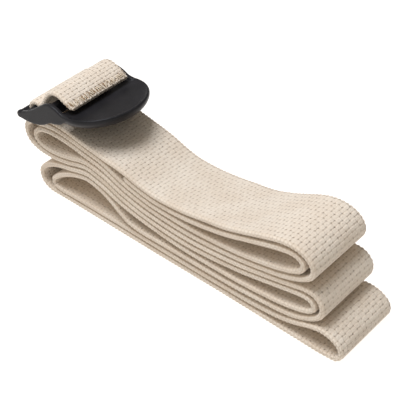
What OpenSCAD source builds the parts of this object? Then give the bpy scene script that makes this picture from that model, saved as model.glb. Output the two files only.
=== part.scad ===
// Strap tourniquet: cotton webbing folded into a flat stack, with a moulded
// cinch buckle threaded on its top run. The webbing is one strap. It is cut
// here at the tips of its folds, so that each run can swing open.

/* [Webbing] */
// Width of the cotton webbing
strap_w = 38; // [34:0.5:40]
// Thickness of the webbing
strap_t = 2.9; // [2.2:0.1:2.9]
// Slit between two runs at the tip of a fold
fold_slit = 0.3; // [0.2:0.05:0.4]

/* [Buckle] */
// Outer width of the buckle, across the webbing
buckle_w = 46.4; // [46:0.2:50]
// Thickness of each side wall
wall_t = 2.6; // [1.8:0.1:2.6]
// Angle by which the thumb plate points up
buckle_pitch = 12; // [10:0.5:14]
// Radius of the rear bar, which is the hinge line
rear_bar_r = 1.8; // [1.4:0.1:1.8]
// Radius of the first ladder bar
front_bar_r = 1.7; // [1.2:0.1:1.7]
// Depth of the dish in the top of the thumb plate
dish_depth = 0.9; // [0.4:0.1:1.4]
// Width of the raised rim round the thumb plate
rim_w = 2.8; // [2.7:0.1:3.4]

/* [End stitching] */
// Number of thread bites across each cut end
bites = 12; // [6:1:14]
// Length of one bite, along the webbing
bite_len = 3; // [2:0.25:4]
// Thickness of the thread
thread_t = 0.5; // [0.3:0.05:0.7]

/* [Detail] */
// Curve steps between two points of the route
steps = 4; // [3:1:8]

/* [Hidden] */
$fn = 64;
eps = 0.01;
cream = [0.88, 0.83, 0.76];
tan = [0.70, 0.62, 0.52];
black = [0.16, 0.16, 0.18];

// The route of the webbing's middle, seen from the side as [x, z]. It starts at
// the cut end on the buckle and ends at the free end inside the stack. X here
// counts from the middle of the base run. Its points, and the outline of the
// buckle's side walls, are drawn for webbing 35 wide, and grow makes them real.
drawn_w = 35;
real_w = 38;
grow = real_w / drawn_w;
route_shift = 9.1;
threaded = grow * [[-64.8, 55.2], [-68, 56.3], [-71.5, 57.8], [-75.5, 58.7], [-79, 57.4],
    [-81.8, 53.9], [-84.2, 49.8], [-86.6, 47.4], [-89.7, 47.8], [-92.4, 46], [-92.8, 43.3]];
top_upper = grow * [[-92.8, 43.3], [-91.2, 41.4], [-88.3, 40.8], [-84, 41.5], [-78, 41.9],
    [-70, 41.2], [-60, 39.5], [-50, 37.9], [-37, 36.3], [-28, 34.1], [-20, 32.8], [-10, 32.8],
    [0, 33.9], [10, 35.8], [20, 37.8], [30, 41], [40, 44.6], [48, 47], [54, 47.6], [59, 46.6],
    [62.6, 44], [64.2, 40.4]];
second_lower = grow * [[64.2, 40.4], [63.4, 37], [60, 33.8], [55, 31.2], [49, 29.1], [40, 27],
    [30, 25.1], [15, 23.3], [0, 22.5], [-10, 22.9], [-20, 23.6], [-28, 24.8], [-37, 26.9],
    [-50, 31.4], [-60, 33.2], [-70, 35.1], [-78, 35.7], [-84, 35.3], [-89, 33.6],
    [-91.2, 30.8]];
third_upper = grow * [[-91.2, 30.8], [-90.6, 28], [-88, 26.2], [-84, 25.4], [-78, 25.6],
    [-70, 27.2], [-60, 29.6], [-50, 28.2], [-37, 23.8], [-28, 21.6], [-20, 20.5], [-10, 19.7],
    [0, 19.4], [15, 20.2], [30, 22], [40, 23.9], [50, 26], [56, 27.5], [61, 28.5], [65.6, 28],
    [68.6, 25.6], [69.6, 22]];
fourth_lower = grow * [[69.6, 22], [68.8, 18.8], [66, 16], [61.5, 13.4], [56, 11.4],
    [50, 10.4], [40, 9.6], [30, 8.9], [15, 8.4], [0, 8.2], [-15, 8.1], [-28, 8.2], [-34, 9.2],
    [-39, 12], [-44, 15.4], [-50, 18.5], [-60, 20.4], [-65, 19.2], [-70, 17.3], [-75, 14.6],
    [-79.2, 11.6], [-82.2, 8.2]];
base_upper = grow * [[-82.2, 8.2], [-81.8, 5.8], [-79, 4.6], [-70, 4.5], [-15, 4.5],
    [15, 4.6], [40, 5.2], [50, 6.4], [58, 8.6], [64, 11], [70, 12.6], [76, 11.6], [79.8, 8.6],
    [80.4, 5]];
base_lower = grow * [[80.4, 5], [78.6, 2.4], [74, 1.6], [68, 1.3], [60, 1.3], [0, 1.3],
    [-72, 1.3], [-80, 1.3], [-85, 1.7], [-88.6, 3.6], [-90.2, 7]];
fourth_upper = grow * [[-90.2, 7], [-89.8, 10.4], [-87.5, 13.4], [-84, 15.9], [-80, 17.9],
    [-75, 19.6], [-70, 20.9], [-65, 22.3], [-60, 23.5], [-50, 22], [-37, 17.5], [-28, 15.6],
    [-20, 14.4], [-10, 13.2], [0, 12.6], [15, 12.6], [30, 12.9], [40, 13.6], [50, 14.6],
    [56, 15.8], [60.5, 17.1], [63.9, 18.8], [65.8, 21.5]];
third_lower = grow * [[65.8, 21.5], [64.2, 24.1], [60, 24.8], [56, 24.2], [50, 22.9],
    [40, 20.8], [30, 18.9], [15, 17.1], [0, 16.2], [-10, 16.6], [-20, 17.5], [-28, 18.7],
    [-37, 20.8], [-50, 25.2], [-60, 26.7], [-65, 25.6], [-70, 24.1], [-78, 22.5], [-84, 22.3],
    [-90, 22.9], [-95, 25.2], [-97.2, 29.4]];
second_upper = grow * [[-97.2, 29.4], [-96.6, 33.6], [-93.5, 36.3], [-88.5, 37.3],
    [-84, 38.2], [-78, 38.8], [-70, 38.1], [-60, 36.3], [-50, 34.6], [-37, 30], [-28, 27.9],
    [-20, 26.6], [-10, 26.2], [0, 26], [15, 26.7], [30, 28.4], [40, 30.4], [49, 32.7],
    [54.5, 34.9], [57.8, 36.9], [59.3, 39.2]];
top_lower = grow * [[59.3, 39.2], [59, 41.6], [57, 43.3], [53.5, 43.9], [49, 43.2],
    [40, 40.7], [30, 37.4], [20, 34.2], [10, 31.9], [0, 30.3], [-10, 29.5], [-20, 29.7],
    [-28, 31], [-36.5, 33.1]];

// The buckle's own X starts at the rear bar and runs to the thumb plate's tip.
hinge_at = [-104.4, 44.4];
inner_w = buckle_w - 2 * wall_t;
plate_r = buckle_w / 2;
plate_low = 0.4;
plate_high = 6.1;
plate_rear = 29.3;
plate_centre = 36.5;
nose_r = rear_bar_r + 0.3;
first_bar_at = [7.7, 2.5];
second_bar_at = [22.8, 5.6];
second_bar_w = 3.9;
second_bar_h = 6.5;
wall_top = concat(grow * [[1.2, 1.6], [6, 3], [10.2, 4.8], [16.6, 8], [20.5, 9.6],
    [23.8, 9.9], [27.2, 8.5], [30.4, 6.4]],
    [[plate_centre, plate_high]]);
wall_foot = concat([[plate_centre, plate_low]], grow * [[24, 0.4], [20.5, 0], [16, -1.8],
    [11.5, -2.8], [5, -2.7], [-0.4, -1.65]]);

// --- curves -----------------------------------------------------------------
// Slope of the curve at point b, between its neighbours a and c, per millimetre
function slope(a, b, c) =
    let (u = norm(b - a), v = norm(c - b))
    ((b - a) / u * v + (c - b) / v * u) / (u + v);

// Point at fraction t of the stretch from b to c
function on_curve(a, b, c, d, t) =
    let (m = norm(c - b) * slope(a, b, c), n = norm(c - b) * slope(b, c, d))
    (2 * pow(t, 3) - 3 * pow(t, 2) + 1) * b + (pow(t, 3) - 2 * pow(t, 2) + t) * m
    + (3 * pow(t, 2) - 2 * pow(t, 3)) * c + (pow(t, 3) - pow(t, 2)) * n;

// Smooth curve through pts, with the points before and after them on the route
function curve(before, pts, after) =
    let (p = concat([before], pts, [after]), last = len(pts) - 1)
    concat([for (i = [1:last]) for (k = [0:steps - 1])
            on_curve(p[i - 1], p[i], p[i + 1], p[i + 2], k / steps)], [pts[last]]);

function before_first(p) = 2 * p[0] - p[1];
function after_last(p) = 2 * p[len(p) - 1] - p[len(p) - 2];
function next_to_last(p) = p[len(p) - 2];
function unit(v) = v / norm(v);

// The directions of the curve at its points, with its true slope at both ends
function directions(before, pts, after, c) =
    let (n = len(c) - 1)
    concat([unit(slope(before, pts[0], pts[1]))],
           [for (i = [1:n - 1]) unit(c[i + 1] - c[i - 1])],
           [unit(slope(next_to_last(pts), pts[len(pts) - 1], after))]);

// The curve with its ends moved in by the given lengths
function shorten(c, d, at_start, at_end) =
    let (n = len(c) - 1)
    [for (i = [0:n]) i == 0 ? c[0] + at_start * d[0] : i == n ? c[n] - at_end * d[n] : c[i]];

// The lowest run lies flat, so no point of the route is below it
function on_ground(p) = [p[0], max(p[1], strap_t / 2)];
function inside_flat(a, b, c) = max(a[1], b[1], c[1]) < strap_t / 2 + 0.001;

// The curve laid on the ground, as one straight line where it is flat
function laid(c) =
    let (g = [for (p = c) on_ground(p)], n = len(g) - 1)
    [for (i = [0:n]) if (i == 0 || i == n || !inside_flat(g[i - 1], g[i], g[i + 1])) g[i]];

// A point of the route in the frame of the whole part
function in_frame(p) = [p[0] + route_shift, p[1]];

// Outline of a strip that follows curve c, which has directions d
function strip(c, d) =
    let (n = len(c) - 1, side = [for (v = d) strap_t / 2 * [-v[1], v[0]]])
    concat([for (i = [0:n]) in_frame(c[i]) + side[i]],
           [for (i = [n:-1:0]) in_frame(c[i]) - side[i]]);

// --- webbing ----------------------------------------------------------------
// Stands a side view drawn in X and Z up, centred across the webbing
module across(width) {
    rotate([90, 0, 0]) linear_extrude(height = width, center = true) children();
}

// One run of webbing, with a slit at each end where it meets another run
module run(before, pts, after, slit_start = fold_slit / 2, slit_end = fold_slit / 2) {
    middle = laid(curve(before, pts, after));
    along = directions(before, pts, after, middle);
    across(strap_w) polygon(strip(shorten(middle, along, slit_start, slit_end), along));
}

module threaded_end() {
    color(cream) run(before_first(threaded), threaded, top_upper[1], slit_start = 0);
}

module top_run_upper() {
    color(cream) run(next_to_last(threaded), top_upper, second_lower[1]);
}

module second_run_lower() {
    color(tan) run(next_to_last(top_upper), second_lower, third_upper[1]);
}

module third_run_upper() {
    color(tan) run(next_to_last(second_lower), third_upper, fourth_lower[1]);
}

module fourth_run_lower() {
    color(tan) run(next_to_last(third_upper), fourth_lower, base_upper[1]);
}

// The base run holds the fold that doubles the strap, so it is one piece
module base_run() {
    whole = concat(base_upper, [for (i = [1:len(base_lower) - 1]) base_lower[i]]);
    color(cream) run(next_to_last(fourth_lower), whole, fourth_upper[1]);
}

module fourth_run_upper() {
    color(cream) run(next_to_last(base_lower), fourth_upper, third_lower[1]);
}

module third_run_lower() {
    color(cream) run(next_to_last(fourth_upper), third_lower, second_upper[1]);
}

module second_run_upper() {
    color(cream) run(next_to_last(third_lower), second_upper, top_lower[1]);
}

module top_run_lower() {
    color(tan) run(next_to_last(second_upper), top_lower, after_last(top_lower), slit_end = 0);
}

// --- stitching --------------------------------------------------------------
// Thread bites in a row across an end of the webbing. p is the end and q the
// next point of the route. Each bite starts at along and has the given size.
module bite_row(p, q, along, height, size) {
    lean = atan2(q[1] - p[1], q[0] - p[0]);
    pitch = strap_w / bites;
    translate([p[0] + route_shift, 0, p[1]]) rotate([0, -lean, 0])
        for (i = [0:bites - 1])
            translate([along + size[0] / 2, (i + 0.5) * pitch - strap_w / 2, height])
                cube(size, center = true);
}

// The cut end's bites lie on its upper face, a hair clear of it
module cut_end_stitching() {
    color(tan) bite_row(threaded[0], threaded[1], 0.4, -(strap_t + thread_t) / 2 - eps,
                        [bite_len, thread_t, thread_t]);
}

// The free end's bites stand across its edge, inside the stack
module free_end_stitching() {
    end = len(top_lower) - 1;
    color(tan) bite_row(top_lower[end], top_lower[end - 1], -thread_t - eps, 0,
                        [thread_t, thread_t * 2, strap_t]);
}

// --- buckle -----------------------------------------------------------------
module buckle() {
    color(black)
        translate([hinge_at[0] + route_shift, 0, hinge_at[1]]) rotate([0, -buckle_pitch, 0]) {
            for (s = [-1, 1])
                translate([0, s * (buckle_w - wall_t) / 2, 0]) side_wall();
            bar([0, 0], rear_bar_r);
            bar(first_bar_at, front_bar_r);
            second_bar();
            thumb_plate();
        }
}

// A round bar from wall to wall
module bar(at, r) {
    translate([at[0], 0, at[1]]) rotate([90, 0, 0])
        cylinder(h = inner_w + wall_t, r = r, center = true);
}

// The second bar stands taller, with a round top
module second_bar() {
    r = second_bar_w / 2;
    half = second_bar_h / 2 - r;
    translate([second_bar_at[0], 0, second_bar_at[1]]) {
        cube([second_bar_w, inner_w + wall_t, 2 * half], center = true);
        for (s = [-1, 1])
            translate([0, 0, s * half]) rotate([90, 0, 0])
                cylinder(h = inner_w + wall_t, r = r, center = true);
    }
}

// Humped side wall, with a round nose over the rear bar
module side_wall() {
    top = curve(before_first(wall_top), wall_top, after_last(wall_top));
    foot = curve(before_first(wall_foot), wall_foot, after_last(wall_foot));
    across(wall_t) {
        polygon(concat(top, foot));
        circle(r = nose_r);
    }
}

// Plan of the thumb plate: straight sides from the rear, then a half circle
module d_outline(rear, r) {
    translate([rear, -r]) square([plate_centre - rear, 2 * r]);
    translate([plate_centre, 0]) intersection() {
        circle(r = r, $fn = 96);
        translate([0, -r]) square([r, 2 * r]);
    }
}

// The thumb plate, with a raised rim round its dished top
module thumb_plate() {
    difference() {
        translate([0, 0, plate_low]) linear_extrude(height = plate_high - plate_low)
            d_outline(plate_rear, plate_r);
        translate([0, 0, plate_high - dish_depth]) linear_extrude(height = 2 * dish_depth)
            d_outline(plate_rear - 1, plate_r - rim_w);
    }
}

base_run();
fourth_run_lower();
fourth_run_upper();
third_run_lower();
third_run_upper();
second_run_lower();
second_run_upper();
top_run_lower();
top_run_upper();
threaded_end();
buckle();
cut_end_stitching();
free_end_stitching();
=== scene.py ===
"""Looks of the strap tourniquet: folded cotton webbing and its moulded cinch buckle."""
import math

import bpy
import numpy as np
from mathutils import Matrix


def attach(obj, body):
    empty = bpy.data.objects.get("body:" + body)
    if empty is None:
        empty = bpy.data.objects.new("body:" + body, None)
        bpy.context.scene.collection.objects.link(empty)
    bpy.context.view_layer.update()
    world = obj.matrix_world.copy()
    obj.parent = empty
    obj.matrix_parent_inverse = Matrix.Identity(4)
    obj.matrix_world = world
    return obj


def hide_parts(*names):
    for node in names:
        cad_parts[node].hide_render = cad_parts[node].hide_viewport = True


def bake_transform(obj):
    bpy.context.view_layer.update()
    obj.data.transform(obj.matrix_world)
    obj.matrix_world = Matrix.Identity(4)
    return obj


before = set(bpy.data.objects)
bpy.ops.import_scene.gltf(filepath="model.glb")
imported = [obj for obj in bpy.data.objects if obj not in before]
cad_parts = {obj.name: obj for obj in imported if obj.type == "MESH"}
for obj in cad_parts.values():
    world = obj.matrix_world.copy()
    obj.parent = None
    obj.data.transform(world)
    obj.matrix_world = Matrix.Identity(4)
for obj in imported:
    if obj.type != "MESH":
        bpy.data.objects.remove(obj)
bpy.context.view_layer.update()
MM = 0.001

# --- webbing: size and route ---------------------------------------------------
STRAP_W = 38.0
STRAP_T = 2.9
EDGE_R = 1.25
COLUMN = STRAP_W / 13
RIB = 1.96
RING_STEP = RIB / 4
ROUTE_SHIFT = 9.1

# The route of the webbing's middle as [x, z], from the cut end on the buckle to the
# free end in the stack. X counts from the middle of the base run. Its points, and the
# outline of the buckle's walls, are drawn for webbing 35 wide. GROW makes them real.
DRAWN_W = 35.0
GROW = STRAP_W / DRAWN_W
ROUTE = {
    "threaded": [[-64.8, 55.2], [-68, 56.3], [-71.5, 57.8], [-75.5, 58.7], [-79, 57.4],
        [-81.8, 53.9], [-84.2, 49.8], [-86.6, 47.4], [-89.7, 47.8], [-92.4, 46],
        [-92.8, 43.3]],
    "top_upper": [[-92.8, 43.3], [-91.2, 41.4], [-88.3, 40.8], [-84, 41.5], [-78, 41.9],
        [-70, 41.2], [-60, 39.5], [-50, 37.9], [-37, 36.3], [-28, 34.1], [-20, 32.8],
        [-10, 32.8], [0, 33.9], [10, 35.8], [20, 37.8], [30, 41], [40, 44.6], [48, 47],
        [54, 47.6], [59, 46.6], [62.6, 44], [64.2, 40.4]],
    "second_lower": [[64.2, 40.4], [63.4, 37], [60, 33.8], [55, 31.2], [49, 29.1], [40, 27],
        [30, 25.1], [15, 23.3], [0, 22.5], [-10, 22.9], [-20, 23.6], [-28, 24.8], [-37, 26.9],
        [-50, 31.4], [-60, 33.2], [-70, 35.1], [-78, 35.7], [-84, 35.3], [-89, 33.6],
        [-91.2, 30.8]],
    "third_upper": [[-91.2, 30.8], [-90.6, 28], [-88, 26.2], [-84, 25.4], [-78, 25.6],
        [-70, 27.2], [-60, 29.6], [-50, 28.2], [-37, 23.8], [-28, 21.6], [-20, 20.5],
        [-10, 19.7], [0, 19.4], [15, 20.2], [30, 22], [40, 23.9], [50, 26], [56, 27.5],
        [61, 28.5], [65.6, 28], [68.6, 25.6], [69.6, 22]],
    "fourth_lower": [[69.6, 22], [68.8, 18.8], [66, 16], [61.5, 13.4], [56, 11.4], [50, 10.4],
        [40, 9.6], [30, 8.9], [15, 8.4], [0, 8.2], [-15, 8.1], [-28, 8.2], [-34, 9.2],
        [-39, 12], [-44, 15.4], [-50, 18.5], [-60, 20.4], [-65, 19.2], [-70, 17.3],
        [-75, 14.6], [-79.2, 11.6], [-82.2, 8.2]],
    "base_upper": [[-82.2, 8.2], [-81.8, 5.8], [-79, 4.6], [-70, 4.5], [-15, 4.5], [15, 4.6],
        [40, 5.2], [50, 6.4], [58, 8.6], [64, 11], [70, 12.6], [76, 11.6], [79.8, 8.6],
        [80.4, 5]],
    "base_lower": [[80.4, 5], [78.6, 2.4], [74, 1.6], [68, 1.3], [60, 1.3], [0, 1.3],
        [-72, 1.3], [-80, 1.3], [-85, 1.7], [-88.6, 3.6], [-90.2, 7]],
    "fourth_upper": [[-90.2, 7], [-89.8, 10.4], [-87.5, 13.4], [-84, 15.9], [-80, 17.9],
        [-75, 19.6], [-70, 20.9], [-65, 22.3], [-60, 23.5], [-50, 22], [-37, 17.5],
        [-28, 15.6], [-20, 14.4], [-10, 13.2], [0, 12.6], [15, 12.6], [30, 12.9], [40, 13.6],
        [50, 14.6], [56, 15.8], [60.5, 17.1], [63.9, 18.8], [65.8, 21.5]],
    "third_lower": [[65.8, 21.5], [64.2, 24.1], [60, 24.8], [56, 24.2], [50, 22.9],
        [40, 20.8], [30, 18.9], [15, 17.1], [0, 16.2], [-10, 16.6], [-20, 17.5], [-28, 18.7],
        [-37, 20.8], [-50, 25.2], [-60, 26.7], [-65, 25.6], [-70, 24.1], [-78, 22.5],
        [-84, 22.3], [-90, 22.9], [-95, 25.2], [-97.2, 29.4]],
    "second_upper": [[-97.2, 29.4], [-96.6, 33.6], [-93.5, 36.3], [-88.5, 37.3], [-84, 38.2],
        [-78, 38.8], [-70, 38.1], [-60, 36.3], [-50, 34.6], [-37, 30], [-28, 27.9],
        [-20, 26.6], [-10, 26.2], [0, 26], [15, 26.7], [30, 28.4], [40, 30.4], [49, 32.7],
        [54.5, 34.9], [57.8, 36.9], [59.3, 39.2]],
    "top_lower": [[59.3, 39.2], [59, 41.6], [57, 43.3], [53.5, 43.9], [49, 43.2], [40, 40.7],
        [30, 37.4], [20, 34.2], [10, 31.9], [0, 30.3], [-10, 29.5], [-20, 29.7], [-28, 31],
        [-36.5, 33.1]],
}
# A run ends and a fold begins where the route crosses one of these X values.
TOP_RIGHT = 58.5
LOW_RIGHT = 61.0
TOP_LEFT = -85.0
LOW_LEFT = -76.0
SLOT = -91.0
CREST = -97.4

# The pieces of the webbing in the order of the route. Each has its name, where it
# ends (stretch, X), its body or pair of bodies, and what it lies on.
PIECES = [
    ["webbing_threaded_end", "threaded", CREST, "cinch", "buckle"],
    ["webbing_slot_bend", "top_upper", SLOT, "slot", "buckle"],
    ["webbing_top_upper", "top_upper", TOP_RIGHT, "top_run", "top_run_lower"],
    ["webbing_top_right_outer", "second_lower", TOP_RIGHT, "top_right", "third_run_upper"],
    ["webbing_second_lower", "second_lower", TOP_LEFT, "second_run", "third_run_upper"],
    ["webbing_top_left_inner", "third_upper", TOP_LEFT, "top_left", "third_run_lower"],
    ["webbing_third_upper", "third_upper", LOW_RIGHT, "third_run", "third_run_lower"],
    ["webbing_low_right_outer", "fourth_lower", LOW_RIGHT, "low_right", "base_run"],
    ["webbing_fourth_lower", "fourth_lower", LOW_LEFT, "fourth_run", "base_run"],
    ["webbing_low_left_inner", "base_upper", LOW_LEFT, "low_left", "base_run"],
    ["webbing_base", "base_lower", LOW_LEFT, "base", "floor"],
    ["webbing_low_left_outer", "fourth_upper", LOW_LEFT, "low_left", "base_run"],
    ["webbing_fourth_upper", "fourth_upper", LOW_RIGHT, "fourth_run", "fourth_run_lower"],
    ["webbing_low_right_inner", "third_lower", LOW_RIGHT, "low_right", "fourth_run_upper"],
    ["webbing_third_lower", "third_lower", TOP_LEFT, "third_run", "fourth_run_upper"],
    ["webbing_top_left_outer", "second_upper", TOP_LEFT, "top_left", "third_run_upper"],
    ["webbing_second_upper", "second_upper", TOP_RIGHT, "second_run", "second_run_lower"],
    ["webbing_top_right_inner", "top_lower", TOP_RIGHT, "top_right", "second_run_upper"],
    ["webbing_top_lower", "top_lower", None, "top_run", "second_run_upper"],
]
# Bodies on either side of each fold, and where its bend starts and ends, as [x, z]
FOLDS = {
    "slot": ["top_run", "cinch", [-97.5, 44.3], [-100.6, 49.0]],
    "top_right": ["second_run", "top_run", [TOP_RIGHT, 39.5], [TOP_RIGHT, 46.1]],
    "top_left": ["third_run", "second_run", [TOP_LEFT, 29.5], [TOP_LEFT, 37.2]],
    "low_right": ["fourth_run", "third_run", [LOW_RIGHT, 18.8], [LOW_RIGHT, 24.7]],
    "low_left": ["base", "fourth_run", [LOW_LEFT, 6.5], [LOW_LEFT, 17.0]],
}
# The CAD nodes that the pieces of webbing stand for
STANDS_FOR = {
    "webbing_threaded_end": "threaded_end",
    "webbing_top_upper": "top_run_upper",
    "webbing_second_lower": "second_run_lower",
    "webbing_third_upper": "third_run_upper",
    "webbing_fourth_lower": "fourth_run_lower",
    "webbing_base": "base_run",
    "webbing_fourth_upper": "fourth_run_upper",
    "webbing_third_lower": "third_run_lower",
    "webbing_second_upper": "second_run_upper",
    "webbing_top_lower": "top_run_lower",
}

# --- buckle: sizes in its own frame, X from the rear bar to the thumb plate ----------
HINGE_AT = [-95.3, 44.4]
PITCH = 12.0
BUCKLE_W = 46.4
WALL_T = 2.6
BAR_R = 1.8
FIRST_BAR_AT = [7.7, 2.5]
FIRST_BAR_R = 1.7
SECOND_BAR_AT = [22.8, 5.6]
SECOND_BAR_W = 3.9
SECOND_BAR_H = 6.5
PLATE_REAR = 29.3
PLATE_CENTRE = 36.5
PLATE_R = BUCKLE_W / 2
WALL_TOP = [[1.2, 1.6], [6, 3], [10.2, 4.8], [16.6, 8], [20.5, 9.6], [23.8, 9.9], [27.2, 8.5],
            [30.4, 6.4]]
WALL_FOOT = [[24, 0.4], [20.5, 0], [16, -1.8], [11.5, -2.8], [5, -2.7], [-0.4, -1.65]]
# Where the wall's foot rises to meet the thumb plate's slanted underside
WALL_RISE = [[PLATE_CENTRE, 4.6], [33.0, 2.6], [29.3, 1.0]]
WALL_END = [PLATE_CENTRE, 6.1]
# The rounding of a wall's two faces, as [depth, inset of its outline]
WALL_ROUNDING = [[0, 0.7], [0.2, 0.2], [0.7, 0], [1.9, 0], [2.4, 0.2], [2.6, 0.7]]
# The thumb plate's edge as [inset, z], from the underside round to the dished top
PLATE_EDGE = [[7.0, 0.4], [4.4, 0.4], [3.4, 0.6], [2.3, 1.2], [1.3, 2.1], [0.6, 3.1],
              [0.15, 4.1], [0.0, 4.9], [0.05, 5.5], [0.3, 5.9], [0.7, 6.1], [1.1, 6.05],
              [1.5, 5.7], [2.0, 5.35], [3.0, 5.2], [8.0, 5.1]]


# --- curves --------------------------------------------------------------------
def slope(a, b, c):
    """Direction of the smooth curve at b, between its neighbours a and c."""
    u = np.linalg.norm(b - a)
    v = np.linalg.norm(c - b)
    return ((b - a) / u * v + (c - b) / v * u) / (u + v)


def smooth_curve(points, count):
    """The smooth curve through the points, with count samples in each stretch."""
    p = np.array(points, float)
    p = np.vstack([2 * p[0] - p[1], p, 2 * p[-1] - p[-2]])
    out = []
    for i in range(1, len(p) - 2):
        size = np.linalg.norm(p[i + 1] - p[i])
        m = size * slope(p[i - 1], p[i], p[i + 1])
        n = size * slope(p[i], p[i + 1], p[i + 2])
        t = np.arange(count)[:, None] / count
        out.append((2 * t**3 - 3 * t**2 + 1) * p[i] + (t**3 - 2 * t**2 + t) * m
                   + (3 * t**2 - 2 * t**3) * p[i + 1] + (t**3 - t**2) * n)
    out.append(p[-2:-1])
    return np.vstack(out)


class Route:
    """The whole length of the webbing as one line, measured along its middle."""

    SAMPLES = 24

    def __init__(self):
        points = []
        self.part = {}
        for name, own in ROUTE.items():
            first = max(len(points) - 1, 0)
            points.extend(own if not points else own[1:])
            self.part[name] = (first, len(points) - 1)
        line = smooth_curve(GROW * np.array(points), self.SAMPLES)
        line[:, 0] += ROUTE_SHIFT
        line[:, 1] = np.maximum(line[:, 1], STRAP_T / 2)
        self.line = line
        steps = np.linalg.norm(np.diff(line, axis=0), axis=1)
        self.along = np.concatenate([[0.0], np.cumsum(steps)])

    def crossing(self, name, x):
        """Length along the route where one stretch of it crosses x."""
        first, last = self.part[name]
        low, high = first * self.SAMPLES, last * self.SAMPLES
        side = self.line[low:high + 1, 0] - ROUTE_SHIFT - x
        hit = int(np.argmax(side[:-1] * side[1:] <= 0))
        share = side[hit] / (side[hit] - side[hit + 1] + 1e-12)
        k = low + hit
        return float(self.along[k] + share * (self.along[k + 1] - self.along[k]))

    def at(self, s):
        """Points and unit directions of the line at the lengths s."""
        def place(q):
            return np.stack([np.interp(q, self.along, self.line[:, k]) for k in (0, 1)], 1)
        ahead = place(np.minimum(s + 0.25, self.along[-1]))
        back = place(np.maximum(s - 0.25, 0.0))
        way = ahead - back
        return place(s), way / np.linalg.norm(way, axis=1)[:, None]


# --- meshes ----------------------------------------------------------------------
def new_object(name, vertices, faces):
    """A mesh object from points in millimetres."""
    mesh = bpy.data.meshes.new(name)
    mesh.from_pydata([tuple(v) for v in np.asarray(vertices) * MM], [], faces)
    mesh.shade_smooth()
    obj = bpy.data.objects.new(name, mesh)
    bpy.context.collection.objects.link(obj)
    return obj


def corner(y, t, start):
    """Points round one edge of the webbing's section, as [across, thickness]."""
    turns = np.radians(start + np.array([0.0, 30.0, 60.0, 90.0]))
    return [[y + EDGE_R * math.cos(a), t + EDGE_R * math.sin(a)] for a in turns]


def section():
    """The webbing's section, a rectangle with rounded edges, anticlockwise."""
    y = STRAP_W / 2 - EDGE_R
    t = STRAP_T / 2 - EDGE_R
    inner = np.linspace(-y, y, 8)[1:-1]
    top = [[v, STRAP_T / 2] for v in inner[::-1]]
    low = [[v, -STRAP_T / 2] for v in inner]
    return np.array(corner(y, -t, -90) + corner(y, t, 0) + top
                    + corner(-y, t, 90) + corner(-y, -t, 180) + low)


def fade(x, low, high):
    """0 below low, 1 above high, with a smooth change between them."""
    t = np.clip((x - low) / (high - low), 0, 1)
    return t * t * (3 - 2 * t)


def settle(p):
    """The stack has slumped a little on its far side, between the folds."""
    middle = 1 - fade(np.abs(p[..., 0] - 8), 22, 58)
    far = np.clip(p[..., 1] / STRAP_W + 0.5, 0, 1)
    out = p.copy()
    out[..., 2] = p[..., 2] * (1 - 0.075 * middle * far)
    return out


def wander(s):
    """The webbing's runs lie a fraction of a millimetre to either side."""
    return 0.28 * np.sin(s / 41.0 + 0.6) + 0.16 * np.sin(s / 17.3)


def ribs(s, y):
    """How far the faces dip between the weft ribs, as a share of the thickness."""
    dip = 0.5 - 0.5 * np.cos(2 * math.pi * s / RIB)
    uneven = 0.7 + 0.3 * np.sin(s / 3.7 + y / 2.1)
    deep = 0.08 + 0.09 * fade(np.abs(y), 15.5, 18.0)
    return deep * dip * uneven + 0.02 * np.sin(s / 5.3 - y / 4.1) ** 2


def ends(route, s):
    """0 at a cut end of the webbing and 1 a few millimetres away from it."""
    return np.minimum(fade(s, -0.6, 2.6), fade(route.along[-1] - s, -0.6, 2.6))


def strip_points(route, s):
    """Rings of points round the webbing at the lengths s."""
    middle, way = route.at(s)
    ring = section()
    end = ends(route, s)[:, None]
    loops = 0.010 * fade(np.abs(ring[None, :, 0]), 16.5, 18.5)
    loops = loops * np.cos(2 * math.pi * s[:, None] / RIB + np.sign(ring[None, :, 1]))
    y = ring[None, :, 0] * (0.955 + 0.045 * end + loops) + wander(s)[:, None]
    t = ring[None, :, 1] * (1 - ribs(s[:, None], ring[None, :, 0])) * (0.5 + 0.5 * end)
    x = middle[:, 0:1] - way[:, 1:2] * t
    z = np.maximum(middle[:, 1:2] + way[:, 0:1] * t, 0.02)
    return settle(np.stack([x, y, z], axis=2)), ring


def strip_normals(route, s):
    """Directions square to the webbing at the points of its rings."""
    ahead, _ = strip_points(route, s + 0.5 * RIB)
    back, _ = strip_points(route, s - 0.5 * RIB)
    here, _ = strip_points(route, s)
    round_it = np.roll(here, -1, axis=1) - np.roll(here, 1, axis=1)
    out = np.cross(round_it, ahead - back)
    return out / np.linalg.norm(out, axis=2)[:, :, None]


def strip(route, name, start, end):
    """One piece of the webbing, closed at both ends."""
    count = max(3, round((end - start) / RING_STEP))
    s = np.linspace(start, end, count + 1)
    points, ring = strip_points(route, s)
    m = len(ring)
    faces = []
    for i in range(count):
        for j in range(m):
            k = (j + 1) % m
            faces.append((i * m + j, i * m + k, (i + 1) * m + k, (i + 1) * m + j))
    faces.append(tuple(range(m - 1, -1, -1)))
    faces.append(tuple(count * m + j for j in range(m)))
    obj = new_object(name, points.reshape(-1, 3), faces)
    shade_strip(obj, strip_normals(route, s).reshape(-1, 3), m)
    add_map(obj, "weave", np.repeat(s, m), np.tile(ring[:, 0], count + 1))
    add_map(obj, "side", np.repeat(s, m), np.tile(ring[:, 1], count + 1))
    return obj


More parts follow.
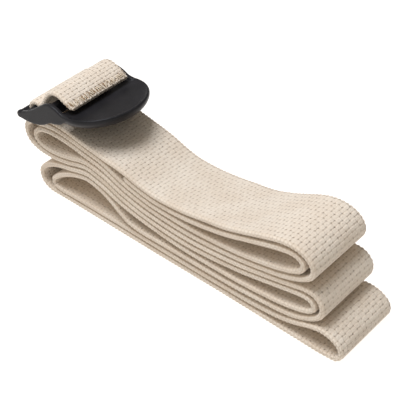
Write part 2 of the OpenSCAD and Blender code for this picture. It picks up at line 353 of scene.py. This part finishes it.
def shade_strip(obj, normals, m):
    """The webbing's own normals on its sides, and flat shading on its two ends."""
    mesh = obj.data
    index = np.empty(len(mesh.loops), int)
    mesh.loops.foreach_get("vertex_index", index)
    way = normals[index]
    for i in (len(mesh.polygons) - 2, len(mesh.polygons) - 1):
        face = mesh.polygons[i]
        way[face.loop_start:face.loop_start + m] = np.array(face.normal)
    mesh.normals_split_custom_set(way.tolist())


def add_map(obj, name, u, v):
    """A UV map with the webbing's own coordinates, in metres."""
    layer = obj.data.uv_layers.new(name=name)
    index = np.empty(len(obj.data.loops), int)
    obj.data.loops.foreach_get("vertex_index", index)
    both = np.stack([u[index], v[index]], axis=1) * MM
    layer.data.foreach_set("uv", both.ravel())


# --- node materials ----------------------------------------------------------------
class Net:
    """A node material, built from its colour and height upwards."""

    def __init__(self, name):
        self.material = bpy.data.materials.new(name)
        self.material.use_nodes = True
        self.nodes = self.material.node_tree.nodes
        self.links = self.material.node_tree.links
        self.shader = self.nodes["Principled BSDF"]

    def set(self, socket, value):
        if isinstance(value, bpy.types.NodeSocket):
            self.links.new(value, socket)
        else:
            socket.default_value = value

    def math(self, kind, a, b=0.0, c=0.0):
        node = self.nodes.new("ShaderNodeMath")
        node.operation = kind
        for socket, value in zip(node.inputs, (a, b, c)):
            self.set(socket, value)
        return node.outputs[0]

    def times(self, a, b):
        return self.math("MULTIPLY", a, b)

    def plus(self, a, b):
        return self.math("ADD", a, b)

    def minus(self, a, b):
        return self.math("SUBTRACT", a, b)

    def blur(self, value, low, high):
        """0 at low and 1 at high, with a smooth change between them."""
        node = self.nodes.new("ShaderNodeMapRange")
        node.interpolation_type = "SMOOTHSTEP"
        self.set(node.inputs["Value"], value)
        node.inputs["From Min"].default_value = low
        node.inputs["From Max"].default_value = high
        return node.outputs["Result"]

    def vector(self, x, y, z=0.0):
        node = self.nodes.new("ShaderNodeCombineXYZ")
        for socket, value in zip(node.inputs, (x, y, z)):
            self.set(socket, value)
        return node.outputs[0]

    def map(self, name):
        """The two coordinates of a UV map, in millimetres."""
        uv = self.nodes.new("ShaderNodeUVMap")
        uv.uv_map = name
        parts = self.nodes.new("ShaderNodeSeparateXYZ")
        self.links.new(uv.outputs[0], parts.inputs[0])
        return self.times(parts.outputs[0], 1000.0), self.times(parts.outputs[1], 1000.0)

    def noise(self, vector, scale, detail=2.0, roughness=0.5):
        node = self.nodes.new("ShaderNodeTexNoise")
        self.links.new(vector, node.inputs["Vector"])
        node.inputs["Scale"].default_value = scale
        node.inputs["Detail"].default_value = detail
        node.inputs["Roughness"].default_value = roughness
        return node.outputs["Fac"]

    def mix(self, share, a, b, kind="MIX"):
        node = self.nodes.new("ShaderNodeMix")
        node.data_type = "RGBA"
        node.blend_type = kind
        self.set(node.inputs[0], share)
        self.set(node.inputs[6], a)
        self.set(node.inputs[7], b)
        return node.outputs[2]

    def bump(self, height, depth, strength=1.0):
        node = self.nodes.new("ShaderNodeBump")
        node.inputs["Strength"].default_value = strength
        node.inputs["Distance"].default_value = depth
        self.links.new(height, node.inputs["Height"])
        self.links.new(node.outputs[0], self.shader.inputs["Normal"])


# --- cotton webbing ------------------------------------------------------------------
# The darker tan is the yarn's own tone on the fibres, and painted shade in the grooves and edge
# dashes. The deep brown is painted shade in the weave's hollows and among the yarn ends at the
# cut end.
COTTON = (0.735, 0.630, 0.515, 1)
COTTON_LIGHT = (0.79, 0.700, 0.590, 1)
COTTON_TAN_AND_SHADE = (0.56, 0.41, 0.26, 1)
COTTON_HOLLOW_SHADE = (0.27, 0.16, 0.075, 1)


def warped(net, along, across):
    """The weave's coordinates, with the small shifts of real yarn."""
    plane = net.vector(along, across)
    x = net.times(net.minus(net.noise(plane, 0.5), 0.5), 0.8)
    y = net.times(net.minus(net.noise(net.vector(across, along, 7.0), 0.45), 0.5), 0.9)
    return net.plus(along, x), net.plus(across, y)


def zigzag(net, u, v):
    """The yarns cross in a chequer, which pushes the hollows to either side."""
    a = net.math("SINE", net.times(u, math.pi / RIB))
    b = net.math("SINE", net.times(v, math.pi / COLUMN))
    return net.times(net.times(a, b), 0.28)


def off_middle(net, value, pitch):
    """How far a place is from the middle of its cell: 0, up to 0.5 at its edge."""
    share = net.math("FRACT", net.math("DIVIDE", value, pitch))
    return net.math("ABSOLUTE", net.minus(share, 0.5))


def hollows(net, u, v):
    """Small round hollows, one at the corner of each cell of the weave."""
    x = net.times(net.minus(0.5, off_middle(net, u, RIB)), RIB / 0.48)
    y = net.times(net.minus(0.5, off_middle(net, v, COLUMN)), COLUMN / 0.56)
    far = net.math("SQRT", net.plus(net.times(x, x), net.times(y, y)))
    return net.minus(1.0, net.blur(far, 0.1, 1.1))


def pits(net, u, v, patch):
    """Hollows where four yarns meet, with fainter ones in the middle of each cell."""
    main = hollows(net, u, v)
    between = hollows(net, net.plus(u, RIB / 2), net.plus(v, COLUMN / 2))
    both = net.plus(main, net.times(between, 0.30))
    return net.times(both, net.plus(0.40, net.times(patch, 0.60)))


def knuckles(net, u, v):
    """1 where the warp passes over the weft, in a chequer, and 0 where it dips."""
    a = net.math("SINE", net.times(u, math.pi / RIB))
    b = net.math("SINE", net.times(v, math.pi / COLUMN))
    return net.blur(net.times(a, b), -0.5, 0.5)


def yarn(net, along, across, side):
    """Fine fibres that run along the webbing, 0 to 1."""
    stretched = net.vector(net.times(along, 0.4), across, side)
    return net.noise(stretched, 4.0, 3.0, 0.65)


def selvage(net, along, side):
    """Dashes along the woven edge, in three staggered rows."""
    row = net.plus(net.math("DIVIDE", side, 0.95), 1.5)
    odd = net.math("MODULO", net.math("FLOOR", row), 2.0)
    wide = net.math("ABSOLUTE", net.minus(net.math("FRACT", row), 0.5))
    far = off_middle(net, net.plus(along, net.times(odd, RIB / 2)), RIB)
    return net.math("MAXIMUM", net.blur(wide, 0.32, 0.5), net.blur(far, 0.30, 0.5))


def shaded_yarn_gaps(net, along, across):
    """Painted shade: dark streaks in the gaps among the sewn yarn ends, just inside the cut
    end.
    """
    zone = net.times(net.blur(along, 0.5, 1.3), net.minus(1.0, net.blur(along, 3.0, 5.4)))
    streak = net.noise(net.vector(net.times(along, 0.28), across, 3.0), 1.15, 2.0, 0.6)
    return net.times(zone, net.blur(streak, 0.42, 0.60))


def cotton():
    net = Net("cotton_webbing_cloth")
    along, across = net.map("weave")
    _, side = net.map("side")
    u, v = warped(net, along, across)
    v = net.plus(v, zigzag(net, net.plus(u, RIB / 2), net.plus(v, COLUMN / 2)))
    patch = net.blur(net.noise(net.vector(along, across, side), 0.55, 1.0), 0.3, 0.7)
    pit = pits(net, u, v, patch)
    rib = net.blur(off_middle(net, u, RIB), 0.22, 0.5)
    groove = net.blur(off_middle(net, v, COLUMN), 0.36, 0.5)
    edge = net.blur(net.math("ABSOLUTE", across), 17.4, 18.3)
    face = net.minus(1.0, edge)
    pit = net.times(pit, face)
    shaded_grooves = net.times(net.plus(net.times(rib, 0.40), net.times(groove, 0.30)), face)
    fibre = yarn(net, along, across, side)
    yarn_gap_shade = shaded_yarn_gaps(net, along, across)
    dashes = net.times(selvage(net, u, side), edge)
    cloud = net.noise(net.vector(along, across, side), 0.07, 3.0)
    colour = net.mix(net.blur(cloud, 0.3, 0.7), COTTON, COTTON_LIGHT)
    colour = net.mix(net.times(net.blur(fibre, 0.40, 0.75), 0.26), colour, COTTON_TAN_AND_SHADE)
    # Painted shade: the grooves between ribs and columns, and the dashes along the woven edge,
    # are darkened in the colour.
    colour = net.mix(net.times(shaded_grooves, 0.42), colour, COTTON_TAN_AND_SHADE)
    colour = net.mix(net.times(dashes, 0.38), colour, COTTON_TAN_AND_SHADE)
    # Painted shade: the hollows of the weave are darkened in the colour with a deep brown.
    colour = net.mix(net.times(pit, 0.60), colour, COTTON_HOLLOW_SHADE)
    # Painted shade among the sewn yarn ends at the cut end.
    colour = net.mix(net.times(yarn_gap_shade, 0.95), colour, COTTON_HOLLOW_SHADE)
    net.links.new(colour, net.shader.inputs["Base Color"])
    net.shader.inputs["Roughness"].default_value = 0.92
    net.shader.inputs["Sheen Weight"].default_value = 0.25
    net.shader.inputs["Sheen Roughness"].default_value = 0.45
    raised = net.plus(net.times(knuckles(net, u, v), 0.35), net.times(fibre, 0.40))
    low = net.plus(net.plus(net.times(pit, 0.9), shaded_grooves), net.times(dashes, 0.6))
    height = net.minus(net.times(raised, face), net.plus(low, yarn_gap_shade))
    net.bump(height, 0.00038, 1.0)
    return net.material


def thread_material():
    net = Net("stitching_thread")
    place = net.nodes.new("ShaderNodeTexCoord").outputs["Object"]
    twist = net.noise(place, 3000.0, 2.0)
    colour = net.mix(net.blur(twist, 0.35, 0.65), (0.55, 0.44, 0.30, 1), (0.80, 0.70, 0.55, 1))
    net.links.new(colour, net.shader.inputs["Base Color"])
    net.shader.inputs["Roughness"].default_value = 0.8
    net.shader.inputs["Sheen Weight"].default_value = 0.2
    net.bump(twist, 0.0001, 0.6)
    return net.material


def plastic():
    net = Net("black_plastic_moulded")
    place = net.nodes.new("ShaderNodeTexCoord").outputs["Object"]
    cloud = net.noise(place, 90.0, 3.0)
    grain = net.noise(place, 2600.0, 2.0, 0.6)
    dust = net.noise(place, 520.0, 4.0, 0.7)
    colour = net.mix(net.blur(cloud, 0.3, 0.7), (0.014, 0.0135, 0.015, 1),
                     (0.020, 0.019, 0.021, 1))
    colour = net.mix(net.times(net.blur(dust, 0.62, 0.80), 0.12), colour, (0.16, 0.15, 0.14, 1))
    net.links.new(colour, net.shader.inputs["Base Color"])
    rough = net.plus(net.plus(net.times(cloud, 0.14), net.times(dust, 0.12)), 0.20)
    net.links.new(rough, net.shader.inputs["Roughness"])
    net.shader.inputs["Specular IOR Level"].default_value = 0.13
    net.bump(grain, 0.00006, 0.5)
    return net.material


# --- buckle -------------------------------------------------------------------------
def buckle_to_frame(p):
    """Points of the buckle's own frame in the frame of the whole part."""
    c = math.cos(math.radians(PITCH))
    s = math.sin(math.radians(PITCH))
    p = np.asarray(p, float)
    x = HINGE_AT[0] + p[:, 0] * c - p[:, 2] * s
    z = HINGE_AT[1] + p[:, 0] * s + p[:, 2] * c
    return np.stack([x, p[:, 1], z], axis=1)


def wall_outline():
    """Side view of a side wall, round its top, foot and nose, as [x, z]."""
    top = smooth_curve(np.vstack([GROW * np.array(WALL_TOP), [WALL_END]]), 5)
    foot = smooth_curve(np.vstack([WALL_RISE, GROW * np.array(WALL_FOOT)]), 5)
    turns = np.radians(np.linspace(250, 60, 14))
    nose = (BAR_R + 0.3) * np.stack([np.cos(turns), np.sin(turns)], axis=1)
    return np.vstack([top, foot, nose])


def inset(outline, by):
    """The closed outline moved in by a distance. It runs clockwise."""
    way = np.roll(outline, -1, axis=0) - np.roll(outline, 1, axis=0)
    way /= np.linalg.norm(way, axis=1)[:, None]
    return outline + by * np.stack([way[:, 1], -way[:, 0]], axis=1)


def shell(rings, closed=True):
    """Faces of rings of equal length joined one to the next, with end caps."""
    count, m = len(rings), len(rings[0])
    faces = []
    for i in range(count - 1):
        for j in range(m if closed else m - 1):
            k = (j + 1) % m
            faces.append((i * m + j, i * m + k, (i + 1) * m + k, (i + 1) * m + j))
    faces.append(tuple(range(m - 1, -1, -1)))
    faces.append(tuple((count - 1) * m + j for j in range(m)))
    return np.vstack(rings), faces


def wall(side):
    """One side wall with rounded edges."""
    outline = wall_outline()
    low = side * (BUCKLE_W / 2) - (WALL_T if side > 0 else 0)
    rings = []
    for y, by in WALL_ROUNDING:
        flat = inset(outline, by)
        rings.append(np.stack([flat[:, 0], np.full(len(flat), low + y), flat[:, 1]], axis=1))
    return shell(rings)


def bar(at, width, height):
    """A bar from wall to wall, with a rounded section of that width and height."""
    turns = np.linspace(0, 2 * math.pi, 32, endpoint=False)
    r = min(width, height) / 2
    x = at[0] + r * np.cos(turns) + (width / 2 - r) * np.sign(np.cos(turns))
    z = at[1] + r * np.sin(turns) + (height / 2 - r) * np.sign(np.sin(turns))
    half = BUCKLE_W / 2 - WALL_T / 2
    rings = [np.stack([x, np.full(32, y), z], axis=1) for y in (-half, half)]
    return shell(rings)


def plate_ring(by, z):
    """The D-shaped outline of the thumb plate, moved in by a distance."""
    turns = np.linspace(-math.pi / 2, math.pi / 2, 49)
    r = PLATE_R - by
    arc = np.stack([PLATE_CENTRE + r * np.cos(turns), r * np.sin(turns)], axis=1)
    flat = np.vstack([[PLATE_REAR, -r], arc, [PLATE_REAR, r]])
    return np.column_stack([flat, np.full(len(flat), z)])


def thumb_plate():
    """The D-shaped plate, with a thin raised rim round its dished top."""
    rings = [plate_ring(by, z) for by, z in PLATE_EDGE]
    points, faces = shell(rings, closed=False)
    m = len(rings[0])
    first = [i * m for i in range(len(rings))]
    last = [i * m + m - 1 for i in range(len(rings))]
    faces.append(tuple(first + last[::-1]))
    return points, faces


def merged(shells):
    """The points and faces of several shells as one list of each."""
    points, faces = [], []
    for own, own_faces in shells:
        base = sum(len(p) for p in points)
        points.append(own)
        faces.extend(tuple(base + i for i in f) for f in own_faces)
    return np.vstack(points), faces


def fused(name, shells, size):
    """One moulded piece from overlapping closed shells."""
    points, faces = merged(shells)
    obj = new_object(name, buckle_to_frame(points), faces)
    remesh = obj.modifiers.new("fuse", "REMESH")
    remesh.mode = "VOXEL"
    remesh.voxel_size = size * MM
    soften = obj.modifiers.new("soften", "SMOOTH")
    soften.factor = 0.5
    soften.iterations = 4
    seen = obj.evaluated_get(bpy.context.evaluated_depsgraph_get())
    mesh = bpy.data.meshes.new_from_object(seen)
    obj.modifiers.clear()
    obj.data = mesh
    mesh.shade_smooth()
    return obj


def make_buckle(material):
    shells = [wall(-1), wall(1), thumb_plate()]
    shells.append(bar([0, 0], 2 * BAR_R, 2 * BAR_R))
    shells.append(bar(FIRST_BAR_AT, 2 * FIRST_BAR_R, 2 * FIRST_BAR_R))
    shells.append(bar(SECOND_BAR_AT, SECOND_BAR_W, SECOND_BAR_H))
    obj = fused("cinch_buckle", shells, 0.33)
    obj.data.materials.append(material)
    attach(obj, "cinch")
    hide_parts("buckle")
    return obj


# --- stitching -----------------------------------------------------------------------
BITES = 30
BITE_MARGIN = 1.2
THREAD_R = 0.22
FREE_END_ROW = 4.0


def tube(path, radius, sides=6):
    """A thin round thread along a path of points."""
    path = np.asarray(path, float)
    way = np.gradient(path, axis=0)
    way /= np.linalg.norm(way, axis=1)[:, None]
    up = np.cross(way, [0.3, 1.0, 0.2])
    up /= np.linalg.norm(up, axis=1)[:, None]
    out = np.cross(way, up)
    turns = np.linspace(0, 2 * math.pi, sides, endpoint=False)
    rings = []
    for i, p in enumerate(path):
        r = radius * (0.55 if i in (0, len(path) - 1) else 1.0)
        rings.append(p + r * (np.cos(turns)[:, None] * up[i] + np.sin(turns)[:, None] * out[i]))
    return shell(rings)


def bite(route, s0, s1, y, lift, top):
    """One thread bite as an arc above a face of the webbing."""
    t = np.linspace(0, 1, 7)
    middle, way = route.at(s0 + (s1 - s0) * t)
    high = top * (STRAP_T / 2 - 0.25 + lift * np.sin(math.pi * t))
    x = middle[:, 0] - way[:, 1] * high
    z = middle[:, 1] + way[:, 0] * high
    return settle(np.stack([x, y + 0.25 * np.sin(3 * t + y), z], axis=1))


def make_stitching(route, name, node, body, s0, top, material):
    """A row of thread bites across an end of the webbing, seen on one face."""
    shells = []
    for i in range(BITES):
        y = (i + 0.5) * STRAP_W / BITES - STRAP_W / 2 + 0.2 * math.sin(2.9 * i)
        reach = 3.0 + 0.9 * math.sin(2.3 * i)
        start = s0 + 0.5 + 0.35 * math.sin(1.7 * i)
        if abs(y) < STRAP_W / 2 - BITE_MARGIN:
            path = bite(route, start, start + reach, y, 0.55, top)
            shells.append(tube(path, THREAD_R))
    obj = new_object(name, *merged(shells))
    obj.data.materials.append(material)
    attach(obj, body)
    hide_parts(node)
    return obj


# --- webbing pieces --------------------------------------------------------------------
def hold(obj, place):
    """The piece rides on a body; a piece on a fold is left unattached, in the frame of the
    whole part.
    """
    if place not in FOLDS:
        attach(obj, place)
        return
    a, b, start, end = FOLDS[place]
    start = ((start[0] + ROUTE_SHIFT) * MM, 0, start[1] * MM)
    end = ((end[0] + ROUTE_SHIFT) * MM, 0, end[1] * MM)
    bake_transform(obj)


def make_webbing(route, material):
    start = 0.0
    for name, stretch, x, place, under in PIECES:
        end = route.along[-1] if x is None else route.crossing(stretch, x)
        if name == "webbing_threaded_end":
            first = route.part["threaded"][0] + 8
            end = float(route.along[first * route.SAMPLES])
        obj = strip(route, name, start, end)
        obj.data.materials.append(material)
        hold(obj, place)
        if name in STANDS_FOR:
            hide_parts(STANDS_FOR[name])
        start = end


# --- camera, floor and light -----------------------------------------------------------
AIM = (0.00126, 0.0, 0.02834)
DISTANCE = 0.5124
AZIMUTH = 40.86
ELEVATION = 40.15


KEY_PLACE = (-0.25, -0.22, 1.28)
KEY_WIDTH = 0.6
KEY_POWER = 14.4
KEY_COLOUR = (0.96, 1.0, 1.08)
SKY_COLOUR = (1, 0.96, 0.90, 1)
SKY_LEAN = (-0.18, -0.24, 0.38)
SKY_LEVEL = 0.20
SKY_LEAST = 0.05
FLOOR_HALF = 1.6
FLOOR_GLOW = (1, 0.955, 0.91, 1)


def make_camera():
    a = math.radians(AZIMUTH)
    e = math.radians(ELEVATION)
    back = (math.sin(a) * math.cos(e), -math.cos(a) * math.cos(e), math.sin(e))
    data = bpy.data.cameras.new("camera")
    data.lens = 99.0
    data.sensor_width = 36.0
    camera = bpy.data.objects.new("camera", data)
    bpy.context.collection.objects.link(camera)
    camera.location = [AIM[k] + DISTANCE * back[k] for k in range(3)]
    camera.rotation_euler = (math.pi / 2 - e, 0, a)
    bpy.context.scene.camera = camera


def make_floor():
    half = FLOOR_HALF
    corners = [(-half, -half, 0), (half, -half, 0), (half, half, 0), (-half, half, 0)]
    mesh = bpy.data.meshes.new("floor")
    mesh.from_pydata(corners, [], [(0, 1, 2, 3)])
    floor = bpy.data.objects.new("floor", mesh)
    bpy.context.collection.objects.link(floor)
    net = Net("floor_paper")
    place = net.nodes.new("ShaderNodeTexCoord").outputs["Object"]
    tone = net.noise(place, 30.0, 2.0)
    net.links.new(net.mix(tone, (0.20, 0.20, 0.20, 1), (0.22, 0.22, 0.22, 1)),
                  net.shader.inputs["Base Color"])
    net.shader.inputs["Roughness"].default_value = 0.9
    net.shader.inputs["Specular IOR Level"].default_value = 0.1
    net.shader.inputs["Emission Color"].default_value = FLOOR_GLOW
    net.shader.inputs["Emission Strength"].default_value = 1.0
    mesh.materials.append(net.material)


def area_light(name, place, width, power, colour):
    """A soft square light that points at the middle of the part."""
    data = bpy.data.lights.new(name, "AREA")
    data.size = width
    data.energy = power
    data.color = colour
    light = bpy.data.objects.new(name, data)
    bpy.context.collection.objects.link(light)
    x, y, z = (place[k] - AIM[k] for k in range(3))
    light.location = place
    light.rotation_euler = (math.atan2(math.hypot(x, y), z), 0, math.atan2(y, x) + math.pi / 2)


def make_world():
    """A white studio: bright above and to the front left, dim to the right."""
    world = bpy.data.worlds.new("studio")
    world.use_nodes = True
    nodes, links = world.node_tree.nodes, world.node_tree.links
    place = nodes.new("ShaderNodeTexCoord")
    lean = nodes.new("ShaderNodeVectorMath")
    lean.operation = "DOT_PRODUCT"
    lean.inputs[1].default_value = SKY_LEAN
    links.new(place.outputs["Generated"], lean.inputs[0])
    raised = nodes.new("ShaderNodeMath")
    raised.operation = "ADD"
    raised.inputs[1].default_value = SKY_LEVEL
    links.new(lean.outputs["Value"], raised.inputs[0])
    least = nodes.new("ShaderNodeMath")
    least.operation = "MAXIMUM"
    least.inputs[1].default_value = SKY_LEAST
    links.new(raised.outputs[0], least.inputs[0])
    links.new(least.outputs[0], nodes["Background"].inputs["Strength"])
    nodes["Background"].inputs["Color"].default_value = SKY_COLOUR
    bpy.context.scene.world = world
    bpy.context.scene.view_settings.view_transform = "Standard"


def make_light():
    make_world()
    area_light("key", KEY_PLACE, KEY_WIDTH, KEY_POWER, KEY_COLOUR)


make_camera()
make_floor()
make_light()
the_route = Route()
cloth = cotton()
thread = thread_material()
make_webbing(the_route, cloth)
make_buckle(plastic())
make_stitching(the_route, "stitching_cut_end", "cut_end_stitching", "cinch", 0.0, -1, thread)
make_stitching(the_route, "stitching_free_end", "free_end_stitching", "top_run",
               the_route.along[-1] - FREE_END_ROW, 1, thread)
